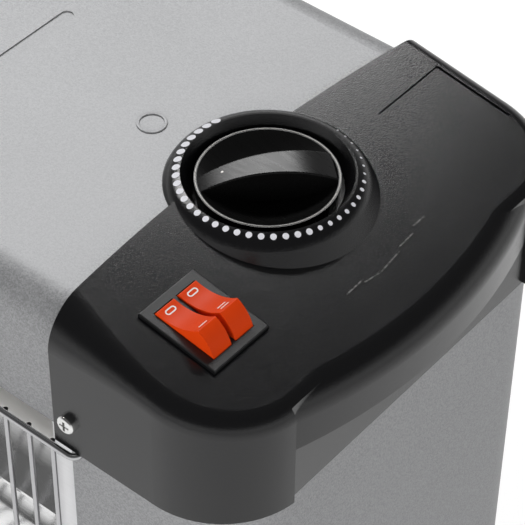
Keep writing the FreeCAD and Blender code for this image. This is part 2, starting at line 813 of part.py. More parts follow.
def ceramic_end_caps():
    """Four ceramic caps, each with a socket for the tube end and a hole for the lead."""
    caps = []
    for side in (-1, 1):
        for z in tube_heights():
            start = V(side * (tube_end - ceramic_socket), tube_y, z)
            along = V(side, 0, 0)
            cap = cylinder(ceramic_radius, start, along, ceramic_length)
            cap = cap.cut(cylinder(tube_radius + fit_gap, start, along, ceramic_socket))
            caps.append(cap.cut(cylinder(coil_lead_radius + fit_gap, start, along, ceramic_length + 1)))
    return Part.makeCompound(caps)


def tube_bracket():
    """Right tube bracket: an upright plate that holds both ceramic caps, with a foot on the base pan."""
    x = cheek_x + bracket_offset
    top = tube_heights()[0] + bracket_half_width
    y0 = tube_y - bracket_half_width
    y1 = tube_y + bracket_half_width
    plate = box(x, x + sheet, y0, y1, floor_top, top)
    foot = box(x, x + bracket_flange, y0, y1, floor_top, floor_top + sheet)
    bracket = fused([plate, foot])
    for z in tube_heights():
        bracket = bracket.cut(cylinder(ceramic_radius + fit_gap, V(x - 1, tube_y, z), V(1, 0, 0), 3))
    return bracket


def thermal_cutout():
    """Disc cut-out on the outer face of the right cheek, between the tubes."""
    x = cheek_x + reflector_sheet
    disc = cylinder(cutout_radius, V(x, tube_y, ridge_z), V(1, 0, 0), cutout_height)
    pieces = [disc]
    for s in (-1, 1):
        y = tube_y + s * cutout_radius / 2
        pieces.append(box(x + cutout_height, x + cutout_height + blade_length / 2, y - blade_thick / 2,
                          y + blade_thick / 2, ridge_z - blade_width / 2, ridge_z + blade_width / 2))
    return fused(pieces)


# Wire guard
def guard_rail(z):
    """Cross wire of the guard, its ends bent back to hook through the front margins."""
    y = -half_depth - guard_stand_off
    x = guard_hook_x()
    r = guard_bend
    back = -panel_face + 2 * sheet
    lean = r * (1 - math.sqrt(0.5))
    edges = [line(V(-x, back, z), V(-x, y + r, z))]
    edges.append(arc(V(-x, y + r, z), V(-x + lean, y + lean, z), V(-x + r, y, z)))
    edges.append(line(V(-x + r, y, z), V(x - r, y, z)))
    edges.append(arc(V(x - r, y, z), V(x - lean, y + lean, z), V(x, y + r, z)))
    edges.append(line(V(x, y + r, z), V(x, back, z)))
    path = Part.Wire(edges)
    profile = Part.Wire([Part.makeCircle(guard_frame_radius, V(-x, back, z), V(0, 1, 0))])
    return path.makePipeShell([profile], True, False)


def guard_count():
    """Number of upright guard wires that fit the opening."""
    return int(2 * opening_half / guard_wire_pitch)


def guard():
    """Welded wire guard: two hooked cross wires, a middle wire and the uprights behind them."""
    top, bottom = guard_levels()
    y = -half_depth - guard_stand_off
    rails = [guard_rail(top), guard_rail(bottom)]
    count = guard_count()
    reach = (count - 1) / 2 * guard_wire_pitch
    rails.append(cylinder(guard_frame_radius, V(-reach, y, ridge_z), V(1, 0, 0), 2 * reach))
    wire_y = y + guard_frame_radius + guard_wire_radius - guard_weld
    wires = []
    for i in range(count):
        x = (i - (count - 1) / 2) * guard_wire_pitch
        wires.append(cylinder(guard_wire_radius, V(x, wire_y, bottom), V(0, 0, 1), top - bottom))
    return rails[0].multiFuse(rails[1:] + wires)


# Feet and tip-over switch
def foot():
    """Moulded cross foot under the right end, arched between its pads."""
    x = half_length - foot_inset
    half = foot_length / 2
    top_half = foot_top_length / 2
    x0 = x - foot_width / 2
    nose = (base_height + foot_bottom) / 3
    points = [V(x0, -half, foot_bottom), V(x0, -half, nose), V(x0, -top_half, base_height)]
    points += [V(x0, top_half, base_height), V(x0, half, nose), V(x0, half, foot_bottom)]
    arch = arc(V(x0, foot_arch_half, foot_bottom), V(x0, 0, foot_bottom + foot_arch),
               V(x0, -foot_arch_half, foot_bottom))
    edges = [line(points[i], points[i + 1]) for i in range(5)]
    edges += [line(points[5], V(x0, foot_arch_half, foot_bottom)), arch]
    edges.append(line(V(x0, -foot_arch_half, foot_bottom), points[0]))
    block = extruded(edges, V(foot_width, 0, 0))
    cross = [e for e in block.Edges if e.BoundBox.XLength > foot_width - 1]
    noses = [e for e in cross if e.BoundBox.ZMin > foot_bottom + 1 and abs(e.CenterOfMass.y) > top_half + 1]
    block = block.makeFillet(nose / 2, noses)
    for s in (-1, 1):
        seat = cylinder(pad_radius + pad_gap, V(x, s * pad_reach, 0), V(0, 0, 1), foot_bottom + pad_seat)
        block = block.cut(seat)
    for place in foot_screw_places():
        low = V(place.x, place.y, 0)
        block = block.cut(cylinder(screw_head_radius + cap_gap, low, V(0, 0, 1), base_height / 2))
        block = block.cut(cylinder(screw_hole, low, V(0, 0, 1), base_height + 1))
    return block


def foot_screw(place):
    """Foot screw, its head up in the foot's counterbore."""
    face = V(place.x, place.y, base_height / 2)
    shank = cylinder(screw_radius, face, V(0, 0, 1), base_height / 2 + 3 * sheet)
    head = cylinder(screw_head_radius, face - V(0, 0, screw_head_height), V(0, 0, 1), screw_head_height)
    return fused([head, shank])


def foot_pads():
    """Four rubber pads seated in the feet."""
    pads = []
    for sx in (-1, 1):
        for sy in (-1, 1):
            centre = V(sx * (half_length - foot_inset), sy * pad_reach, 0)
            pad = cylinder(pad_radius, centre, V(0, 0, 1), foot_bottom + pad_seat)
            rim = [e for e in pad.Edges if e.Closed and e.BoundBox.ZMax < 0.1]
            pads.append(pad.makeFillet(foot_bottom / 3, rim))
    return Part.makeCompound(pads)


def tip_switch_housing():
    """Tip-over switch case on the base pan, hollow round the plunger head."""
    x0 = plunger_x - tip_box_length / 2
    y0 = plunger_y - tip_box_width / 2
    top = floor_top + tip_box_height
    case = box(x0, x0 + tip_box_length, y0, y0 + tip_box_width, floor_top, top)
    room = plunger_travel + plunger_head + 3 * plunger_gap
    start = V(plunger_x, plunger_y, floor_top)
    case = case.cut(cylinder(plunger_head_radius + plunger_gap, start, V(0, 0, 1), room))
    return case


def tip_switch_plunger():
    """Plunger that stands on the floor and drops when the heater is lifted or tips."""
    head_z = floor_top + plunger_gap + plunger_travel
    rod = cylinder(plunger_radius, V(plunger_x, plunger_y, 0), V(0, 0, 1), head_z)
    tip = [e for e in rod.Edges if e.Closed and e.BoundBox.ZMax < 0.1]
    rod = rod.makeFillet(plunger_radius / 3, tip)
    head = cylinder(plunger_head_radius, V(plunger_x, plunger_y, head_z), V(0, 0, 1), plunger_head)
    return fused([rod, head])


# Electrical pieces
def terminal_block():
    """Three-way terminal block on the base pan."""
    x0 = block_x - block_length / 2
    y0 = block_y - block_width / 2
    top = floor_top + block_height
    block = box(x0, x0 + block_length, y0, y0 + block_width, floor_top, top)
    pitch = block_length / 3
    for i in range(3):
        x = x0 + (i + 0.5) * pitch
        start = V(x, block_y, top - block_height / 2)
        block = block.cut(cylinder(screw_radius, start, V(0, 0, 1), block_height))
    for i in range(1, 3):
        x = x0 + i * pitch
        groove = box(x - sheet, x + sheet, y0 - 1, y0 + block_width + 1, top - block_height / 4, top + 1)
        block = block.cut(groove)
    return block


def cable_gland():
    """Cord inlet bush in the rear return of the right side panel."""
    y = panel_face
    head = cylinder(gland_head, V(gland_x, y, gland_z), V(0, 1, 0), 3 * sheet)
    neck = cylinder(gland_radius, V(gland_x, y, gland_z), V(0, -1, 0), 10 * sheet)
    bore = cylinder(gland_radius / 2, V(gland_x, y - 12 * sheet, gland_z), V(0, 1, 0), 20 * sheet)
    return fused([head, neck]).cut(bore)


# Assembly
cap_screw_set = [screw(p, d) for p, d in screw_places()]
side_screw_set = [screw(p, d) for p, d in side_screw_places()]
upper_z, lower_z = tube_heights()
nodes = {
    "top_shell": top_shell(),
    "right_side_panel": right_side_panel(),
    "left_side_panel": mirrored(side_panel()),
    "rear_panel": rear_panel(),
    "base_pan": base_pan(),
    "control_housing": control_housing(),
    "left_cap": mirrored(end_cap()),
    "knob": knob(),
    "thermostat_shaft": thermostat_shaft(),
    "thermostat_body": thermostat_body(),
    "thermostat_nut": thermostat_nut(),
    "switch_frame": switch_frame(),
    "rocker_front": rocker(-1),
    "rocker_rear": rocker(1),
    "switch_terminals": switch_terminals(),
    "reflector": reflector(),
    "right_cheek": reflector_cheek(),
    "left_cheek": mirrored(reflector_cheek()),
    "upper_quartz_tube": quartz_tube(upper_z),
    "lower_quartz_tube": quartz_tube(lower_z),
    "upper_heating_coil": heating_coil(upper_z),
    "lower_heating_coil": heating_coil(lower_z),
    "ceramic_end_caps": ceramic_end_caps(),
    "right_tube_bracket": tube_bracket(),
    "left_tube_bracket": mirrored(tube_bracket()),
    "thermal_cutout": thermal_cutout(),
    "guard": guard(),
    "right_foot": foot(),
    "left_foot": mirrored(foot()),
    "foot_pads": foot_pads(),
    "tip_switch_housing": tip_switch_housing(),
    "tip_switch_plunger": tip_switch_plunger(),
    "terminal_block": terminal_block(),
    "cable_gland": cable_gland(),
    "cap_screws": Part.makeCompound(cap_screw_set + [mirrored(s) for s in cap_screw_set]),
    "side_panel_screws": Part.makeCompound(side_screw_set + [mirrored(s) for s in side_screw_set]),
    "rear_panel_screws": Part.makeCompound([screw(p, d) for p, d in rear_screw_places()]),
    "foot_screws": Part.makeCompound([foot_screw(p) for p in foot_screw_places()]),
}

os.makedirs(PARTS_DIR, exist_ok=True)
for name, shape in nodes.items():
    shape.exportStep(os.path.join(PARTS_DIR, name + ".step"))
    print(name, len(shape.Solids), shape.isValid(), round(shape.Volume, 1))
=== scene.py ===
"""Studio scene of a landscape quartz heater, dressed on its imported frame.

Lengths are in metres. A field whose name ends in _deg is in degrees.
"""
import json
import logging
import math
from dataclasses import dataclass
from enum import Enum
from functools import lru_cache
from typing import Callable, Sequence

import bpy
from mathutils import Matrix, Vector


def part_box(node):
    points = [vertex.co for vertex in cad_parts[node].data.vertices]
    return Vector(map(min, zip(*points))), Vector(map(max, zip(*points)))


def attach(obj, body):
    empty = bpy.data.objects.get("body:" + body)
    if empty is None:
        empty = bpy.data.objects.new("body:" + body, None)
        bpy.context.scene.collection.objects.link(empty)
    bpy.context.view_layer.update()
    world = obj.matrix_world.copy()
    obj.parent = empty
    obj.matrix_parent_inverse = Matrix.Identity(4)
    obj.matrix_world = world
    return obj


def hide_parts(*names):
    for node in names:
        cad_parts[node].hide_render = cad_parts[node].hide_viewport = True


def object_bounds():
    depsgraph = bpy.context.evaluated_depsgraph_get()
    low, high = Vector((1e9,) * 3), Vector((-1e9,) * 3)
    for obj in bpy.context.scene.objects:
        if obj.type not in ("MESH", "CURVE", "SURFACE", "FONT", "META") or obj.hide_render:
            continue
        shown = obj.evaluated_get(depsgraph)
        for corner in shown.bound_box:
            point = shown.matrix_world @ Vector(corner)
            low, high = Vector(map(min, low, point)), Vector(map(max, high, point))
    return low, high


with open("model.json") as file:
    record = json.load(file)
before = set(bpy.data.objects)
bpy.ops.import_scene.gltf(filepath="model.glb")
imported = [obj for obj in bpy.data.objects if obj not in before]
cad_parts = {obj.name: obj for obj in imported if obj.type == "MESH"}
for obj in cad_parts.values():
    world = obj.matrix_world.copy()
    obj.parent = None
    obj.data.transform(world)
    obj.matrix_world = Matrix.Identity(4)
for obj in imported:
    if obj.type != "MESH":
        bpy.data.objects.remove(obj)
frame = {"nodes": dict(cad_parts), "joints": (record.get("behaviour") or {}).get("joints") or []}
CAD_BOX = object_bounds()
MM = 0.001
UP = Vector((0.0, 0.0, 1.0))
BACK = Vector((0.0, 1.0, 0.0))
RIGHT = Vector((1.0, 0.0, 0.0))
SMOOTH_DEG = 35.0
QUARTER_TURN = math.radians(90)
MERGE_GAP = 1e-7
TINY = 1e-6
FACING = 0.9
FLAT = 0.99
END_SHARE = 0.1
EDGE_SHARE = 0.4
EDGE_STEPS = 2
PRINT_GAP = 0.01 * MM
PRINT_THICKNESS = 0.06 * MM
DROP_HEIGHT = 20 * MM
WHITE = (1.0, 1.0, 1.0, 1.0)
Colour = tuple[float, float, float]
Point = tuple[float, float, float]
Socket = bpy.types.NodeSocket
log = logging.getLogger("heater")


class Body(str, Enum):
    """Moving groups of the frame that a new piece can ride on."""

    CASING = "casing"
    DIAL = "dial_knob"
    FRONT_ROCKER = "front_rocker"
    REAR_ROCKER = "rear_rocker"


class Slot(str, Enum):
    """Material slots of the record, named for each new piece but not used."""

    PAINT = "silver_paint"
    WIRE = "resistance_wire"
    STEEL = "zinc_steel"
    CHROME = "chrome_wire"
    NYLON = "white_nylon"


# Finishes
class Graph:
    """Node tree, with short calls for the nodes that the finishes and the studio share."""

    MIX_COLOURS = (6, 7)
    MIX_RESULT = 2

    def __init__(self, owner: bpy.types.Material | bpy.types.World,
                 shader: str = "Principled BSDF", place: str = "Object") -> None:
        """Starts on the owner's shader and one kind of coordinates."""
        owner.use_nodes = True
        self.tree = owner.node_tree
        self.shader = self.tree.nodes[shader]
        self.place = self.add("ShaderNodeTexCoord").outputs[place]

    def add(self, kind: str, **settings: object) -> bpy.types.Node:
        """Adds a node and sets its properties."""
        node = self.tree.nodes.new(kind)
        for key, value in settings.items():
            setattr(node, key, value)
        return node

    def feed(self, socket: Socket, value: Socket | float | Sequence[float]) -> None:
        """Links a socket to another one, or sets its constant."""
        if isinstance(value, bpy.types.NodeSocket):
            self.tree.links.new(value, socket)
        else:
            socket.default_value = value

    def shade(self, **values: Socket | float | Sequence[float]) -> None:
        """Feeds sockets of the shader, named with underscores for spaces."""
        for key, value in values.items():
            self.feed(self.shader.inputs[key.replace("_", " ")], value)

    def stretched(self, scale: Point) -> Socket:
        """The coordinates, scaled by a factor on each axis."""
        node = self.add("ShaderNodeMapping", vector_type="POINT")
        self.feed(node.inputs["Vector"], self.place)
        self.feed(node.inputs["Scale"], scale)
        return node.outputs[0]

    def noise(self, size: float, detail: float = 2.0, place: Socket | None = None) -> Socket:
        """Cloudy noise, 0 to 1.

        Args:
            size: Length of one wave.
            detail: Octaves of finer noise on it.
            place: Coordinates, or None for the plain ones.

        Returns:
            The noise value.
        """
        node = self.add("ShaderNodeTexNoise")
        self.feed(node.inputs["Vector"], place or self.place)
        self.feed(node.inputs["Scale"], 1.0 / size)
        self.feed(node.inputs["Detail"], detail)
        return node.outputs[0]

    def cells(self, size: float) -> Socket:
        """Random grey of Voronoi cells of a size, as metal flakes have."""
        node = self.add("ShaderNodeTexVoronoi")
        self.feed(node.inputs["Vector"], self.place)
        self.feed(node.inputs["Scale"], 1.0 / size)
        grey = self.add("ShaderNodeSeparateColor")
        self.feed(grey.inputs[0], node.outputs["Color"])
        return grey.outputs[0]

    def parts(self, vector: Socket) -> Sequence[Socket]:
        """X, Y and Z of a vector."""
        node = self.add("ShaderNodeSeparateXYZ")
        self.feed(node.inputs[0], vector)
        return node.outputs

    def seen(self) -> Socket:
        """Value of 1 for what the camera, metal and glass see."""
        rays = self.add("ShaderNodeLightPath").outputs
        mirrored = self.calc("MAXIMUM", rays["Is Glossy Ray"], rays["Is Transmission Ray"])
        return self.calc("MAXIMUM", rays["Is Camera Ray"], mirrored)

    def spread(self, value: Socket, low: float, high: float, start: float = 0.0,
               end: float = 1.0) -> Socket:
        """Maps start..end to low..high, held at both ends."""
        node = self.add("ShaderNodeMapRange", clamp=True)
        for key, number in (("From Min", start), ("From Max", end), ("To Min", low),
                            ("To Max", high)):
            self.feed(node.inputs[key], number)
        self.feed(node.inputs["Value"], value)
        return node.outputs[0]

    def calc(self, operation: str, first: Socket | float, second: Socket | float = 0.0) -> Socket:
        """One Math node."""
        node = self.add("ShaderNodeMath", operation=operation)
        self.feed(node.inputs[0], first)
        self.feed(node.inputs[1], second)
        return node.outputs[0]

    def blend(self, factor: Socket, first: Socket | Colour, second: Socket | Colour) -> Socket:
        """Mixes two colours by a factor."""
        node = self.add("ShaderNodeMix", data_type="RGBA")
        self.feed(node.inputs[0], factor)
        for index, colour in zip(self.MIX_COLOURS, (first, second)):
            linked = isinstance(colour, bpy.types.NodeSocket)
            self.feed(node.inputs[index], colour if linked else (*colour, 1.0))
        return node.outputs[self.MIX_RESULT]

    def bump(self, height: Socket, depth: float, strength: float,
             normal: Socket | None = None) -> Socket:
        """Surface normal raised by a height.

        Args:
            height: Value from 0 to 1.
            depth: Real height of a value of 1.
            strength: Share of the bump that shows.
            normal: Bump that this one is added to.

        Returns:
            The normal for the shader.
        """
        node = self.add("ShaderNodeBump")
        self.feed(node.inputs["Height"], height)
        self.feed(node.inputs["Distance"], depth)
        self.feed(node.inputs["Strength"], strength)
        if normal is not None:
            self.feed(node.inputs["Normal"], normal)
        return node.outputs[0]


def shaded(colour: Colour, factor: float) -> Colour:
    """A colour made lighter or darker by a factor, held under 1."""
    return tuple(min(1.0, part * factor) for part in colour)


@dataclass(frozen=True)
class Scratch:
    """Thin worn line on a moulding, seen from above."""

    start: tuple[float, float]
    end: tuple[float, float]
    width: float = 0.35 * MM
    full_length: float = 0.7
    full_width: float = 0.3

    def mask(self, graph: Graph) -> Socket:
        """Value of 1 on the line and 0 off it.

        Args:
            graph: Tree that the line is drawn in.

        Returns:
            The mask value.
        """
        run = Vector(self.end) - Vector(self.start)
        middle = (Vector(self.end) + Vector(self.start)) / 2
        node = graph.add("ShaderNodeMapping", vector_type="TEXTURE")
        graph.feed(node.inputs["Vector"], graph.place)
        graph.feed(node.inputs["Location"], (middle.x, middle.y, 0.0))
        graph.feed(node.inputs["Rotation"], (0.0, 0.0, math.atan2(run.y, run.x)))
        x, y, _ = graph.parts(node.outputs[0])
        reach = run.length / 2
        along = graph.spread(graph.calc("ABSOLUTE", x), 1.0, 0.0, reach * self.full_length, reach)
        across = graph.spread(graph.calc("ABSOLUTE", y), 1.0, 0.0, self.width * self.full_width,
                              self.width)
        return graph.calc("MULTIPLY", along, across)


@dataclass(frozen=True)
class Finish:
    """Name, colour and gloss that every finish has."""

    name: str
    colour: Colour
    roughness: float

    @lru_cache(maxsize=None)
    def make(self) -> bpy.types.Material:
        """Makes the material of this finish, once."""
        material = bpy.data.materials.new(self.name)
        self.dress(Graph(material))
        return material

    def tones(self, graph: Graph, value: Socket, dark: float, light: float) -> Socket:
        """The colour, from darker to lighter by a value."""
        return graph.blend(value, shaded(self.colour, dark), shaded(self.colour, light))

    def rough(self, graph: Graph, value: Socket, play: float) -> Socket:
        """The roughness, varied to both sides by a value."""
        return graph.spread(value, self.roughness - play, self.roughness + play)

    def dress(self, graph: Graph) -> None:
        """Feeds the shader. Each kind of finish has its own way."""
        raise NotImplementedError


@dataclass(frozen=True)
class MetallicPaint(Finish):
    """Silver paint with fine flakes and orange peel."""

    flake: float = 0.45 * MM
    flake_depth: float = 0.02 * MM
    peel: float = 1.3 * MM
    peel_depth: float = 0.05 * MM
    relief: float = 0.35
    cloud: float = 60 * MM
    cloud_share: float = 0.25
    metal: float = 0.35
    gloss: float = 0.1
    sparkle: float = 0.26
    play: float = 0.06

    def dress(self, graph: Graph) -> None:
        """Mixes flake greys, soft clouds and orange peel."""
        flakes = graph.cells(self.flake)
        clouds = graph.calc("MULTIPLY", graph.noise(self.cloud, detail=3.0), self.cloud_share)
        tone = graph.spread(graph.calc("ADD", flakes, clouds), 0.0, 1.0, end=1 + self.cloud_share)
        peel = graph.bump(graph.noise(self.peel, detail=1.0), self.peel_depth, self.relief)
        graph.shade(Base_Color=self.tones(graph, tone, 1 - self.sparkle, 1 + self.sparkle),
                    Metallic=self.metal, Specular_IOR_Level=self.gloss,
                    Normal=graph.bump(flakes, self.flake_depth, self.relief, peel),
                    Roughness=self.rough(graph, flakes, self.play))


@dataclass(frozen=True)
class Moulding(Finish):
    """Moulded plastic with a fine grain and worn lines."""

    grain: float = 0.5 * MM
    depth: float = 0.075 * MM
    relief: float = 0.8
    gloss: float = 0.5
    dark: float = 0.75
    light: float = 1.3
    play: float = 0.05
    smear: float = 35 * MM
    smear_play: float = 0.03
    scratches: tuple[Scratch, ...] = ()
    wear: Colour = (0.16, 0.155, 0.15)
    wear_break: float = 1.2 * MM

    def dress(self, graph: Graph) -> None:
        """Mixes grain, soft smears and the worn lines."""
        grain = graph.noise(self.grain, detail=3.0)
        smear = graph.noise(self.smear, detail=4.0)
        smear = graph.spread(smear, -self.smear_play, self.smear_play)
        colour = self.tones(graph, grain, self.dark, self.light)
        if self.scratches:
            worn = self.scratches[0].mask(graph)
            for scratch in self.scratches[1:]:
                worn = graph.calc("MAXIMUM", worn, scratch.mask(graph))
            broken = graph.spread(graph.noise(self.wear_break), low=0.15, high=1.0, start=0.35,
                                  end=0.6)
            colour = graph.blend(graph.calc("MULTIPLY", worn, broken), colour, self.wear)
        graph.shade(Base_Color=colour, Specular_IOR_Level=self.gloss,
                    Normal=graph.bump(grain, self.depth, self.relief),
                    Roughness=graph.calc("ADD", smear, self.rough(graph, grain, self.play)))


@dataclass(frozen=True)
class GlossMoulding(Finish):
    """Polished plastic with faint wipe marks."""

    gloss: float = 0.5
    wipe: float = 9 * MM
    wipe_stretch: Point = (1.0, 6.0, 1.0)
    wipe_low: float = 0.04
    wipe_high: float = 0.08
    patch: float = 14 * MM
    contrast: float = 0.1
    ripple: float = 1.6 * MM
    ripple_depth: float = 0.02 * MM
    relief: float = 0.15

    def dress(self, graph: Graph) -> None:
        """Mixes a slight tone and fine wipe marks in the gloss."""
        wipe = graph.noise(self.wipe, detail=5.0, place=graph.stretched(self.wipe_stretch))
        tone = graph.noise(self.patch)
        ripple = graph.bump(graph.noise(self.ripple), self.ripple_depth, self.relief)
        graph.shade(Base_Color=self.tones(graph, tone, 1 - self.contrast, 1 + self.contrast),
                    Specular_IOR_Level=self.gloss, Normal=ripple,
                    Roughness=graph.spread(wipe, self.roughness - self.wipe_low,
                                           self.roughness + self.wipe_high))


@dataclass(frozen=True)
class SheetMetal(Finish):
    """Bare or plated metal with a brushed or spangled face."""

    stroke: Point = (1.0, 1.0, 1.0)
    grain: float = 0.6 * MM
    depth: float = 0.02 * MM
    streak: float = 0.12
    light: float = 1.05
    relief: float = 0.5
    cloud: float = 25 * MM
    play: float = 0.08
    least_rough: float = 0.03

    def dress(self, graph: Graph) -> None:
        """Draws the strokes out along one axis and varies gloss with them."""
        strokes = graph.noise(self.grain, detail=4.0, place=graph.stretched(self.stroke))
        clouds = graph.noise(self.cloud, detail=3.0)
        tone = graph.spread(graph.calc("ADD", strokes, clouds), 0.0, 1.0, start=0.5, end=1.5)
        smooth = max(self.least_rough, self.roughness - self.play)
        graph.shade(Base_Color=self.tones(graph, tone, 1 - self.streak, self.light), Metallic=1.0,
                    Normal=graph.bump(strokes, self.depth, self.relief),
                    Roughness=graph.spread(strokes, smooth, self.roughness + self.play))


@dataclass(frozen=True)
class QuartzGlass(Finish):
    """Satin quartz glass with drawn streaks."""

    clear: float = 0.7
    index: float = 1.46
    streak: float = 1.5 * MM
    streak_stretch: Point = (0.05, 1.0, 1.0)
    dark: float = 0.92
    play: float = 0.05

    def dress(self, graph: Graph) -> None:
        """Lets light through a satin skin with streaks along the tube."""
        drawn = graph.stretched(self.streak_stretch)
        streaks = graph.noise(self.streak, detail=3.0, place=drawn)
        graph.shade(Base_Color=self.tones(graph, streaks, self.dark, 1.0), IOR=self.index,
                    Roughness=self.rough(graph, streaks, self.play),
                    Transmission_Weight=self.clear)


@dataclass(frozen=True)
class Speckled(Finish):
    """Matt pale or dark stuff with specks, such as ceramic, nylon, rubber and print."""

    speck: float = 0.8 * MM
    contrast: float = 0.08
    depth: float = 0.03 * MM
    relief: float = 0.3
    play: float = 0.05

    def dress(self, graph: Graph) -> None:
        """Mixes specks into the colour and a light pitting into the face."""
        specks = graph.noise(self.speck, detail=4.0)
        graph.shade(Base_Color=self.tones(graph, specks, 1 - self.contrast, 1 + self.contrast),
                    Roughness=self.rough(graph, specks, self.play),
                    Normal=graph.bump(specks, self.depth, self.relief))


DIAL = Vector(frame["joints"][0]["pos_m"])


def by_dial(x: float, y: float) -> tuple[float, float]:
    """Plan point given in millimetres from the dial axis."""
    return DIAL.x + x * MM, DIAL.y + y * MM


CAP_SCRATCHES = (
    Scratch(by_dial(44.4, 25.7), by_dial(44.3, 19.0)),
    Scratch(by_dial(46.2, 17.2), by_dial(46.6, 8.4)),
    Scratch(by_dial(47.7, 8.4), by_dial(49.0, -3.9)),
    Scratch(by_dial(49.0, -3.4), by_dial(47.8, -10.6)),
    Scratch(by_dial(46.8, -9.4), by_dial(47.0, -18.4)),
)


class Finishes(Enum):
    """Every finish of the heater."""

    SILVER = MetallicPaint("silver_flake_paint", (0.3, 0.302, 0.308), 0.48)
    REAR_SILVER = MetallicPaint("matt_silver_paint", (0.27, 0.272, 0.278), 0.52)
    HOUSING = Moulding("grained_black_housing", (0.004, 0.004, 0.0045), 0.18, gloss=0.45,
                       scratches=CAP_SCRATCHES)
    CAP = Moulding("grained_black_cap", (0.004, 0.004, 0.0045), 0.18, gloss=0.45)
    BEZEL = Moulding("satin_black_bezel", (0.006, 0.0063, 0.0066), 0.4, grain=0.35 * MM)
    KNOB = GlossMoulding("polished_black_knob", (0.003, 0.003, 0.003), 0.26, gloss=0.26)
    ROCKER = GlossMoulding("orange_red_rocker", (0.74, 0.056, 0.005), 0.4, gloss=0.1)
    FOOT = Moulding("black_foot", (0.018, 0.018, 0.018), 0.6)
    GLAND = Moulding("black_gland", (0.02, 0.02, 0.02), 0.5)
    PHENOLIC = Moulding("brown_phenolic", (0.09, 0.05, 0.03), 0.45)
    POLISHED = SheetMetal("polished_aluminium", (0.88, 0.88, 0.88), 0.09,
                          stroke=(0.08, 1.0, 1.0), grain=0.9 * MM, streak=0.08)
    BRUSHED = SheetMetal("brushed_aluminium", (0.82, 0.82, 0.83), 0.34,
                         stroke=(0.06, 1.0, 1.0), grain=0.5 * MM, depth=0.05 * MM)
    CHROME = SheetMetal("bright_wire", (0.5, 0.5, 0.51), 0.12, grain=3 * MM)
    ZINC = SheetMetal("zinc_plate", (0.62, 0.62, 0.62), 0.38, grain=4 * MM, streak=0.2)
    SCREW = SheetMetal("bright_screw", (0.78, 0.78, 0.77), 0.18, grain=0.5 * MM)
    BRASS = SheetMetal("plain_brass", (0.72, 0.53, 0.22), 0.3)
    NICHROME = SheetMetal("oxidised_wire", (0.32, 0.3, 0.28), 0.45, streak=0.3)
    QUARTZ = QuartzGlass("satin_quartz", (0.9, 0.89, 0.87), 0.35)
    CERAMIC = Speckled("white_ceramic", (0.82, 0.8, 0.75), 0.45)
    NYLON = Speckled("pale_nylon", (0.78, 0.78, 0.74), 0.5, contrast=0.04)
    RUBBER = Speckled("dark_rubber", (0.022, 0.022, 0.022), 0.8, contrast=0.2)
    PRINT = Speckled("pale_print", (0.72, 0.72, 0.76), 0.6, speck=0.5 * MM, contrast=0.12)
    SYMBOL = Speckled("white_symbol", (0.86, 0.82, 0.78), 0.5, contrast=0.05)
    # Dim metal line round the knob's rim: a painted highlight on the rim's edge.
    RIM_HIGHLIGHT = SheetMetal("painted_rim_highlight", (0.17, 0.165, 0.155), 0.4, grain=1.5 * MM, streak=0.3)

    @property
    def material(self) -> bpy.types.Material:
        """The material of this finish."""
        return self.value.make()


def dress(node: str, finish: Finishes) -> None:
    """Gives a node of the frame its finish."""
    piece = frame["nodes"][node]
    if not piece.material_slots:
        piece.data.materials.append(None)
    for slot in piece.material_slots:
        slot.material = finish.material
    log.info("%s wears %s", node, finish.value.name)


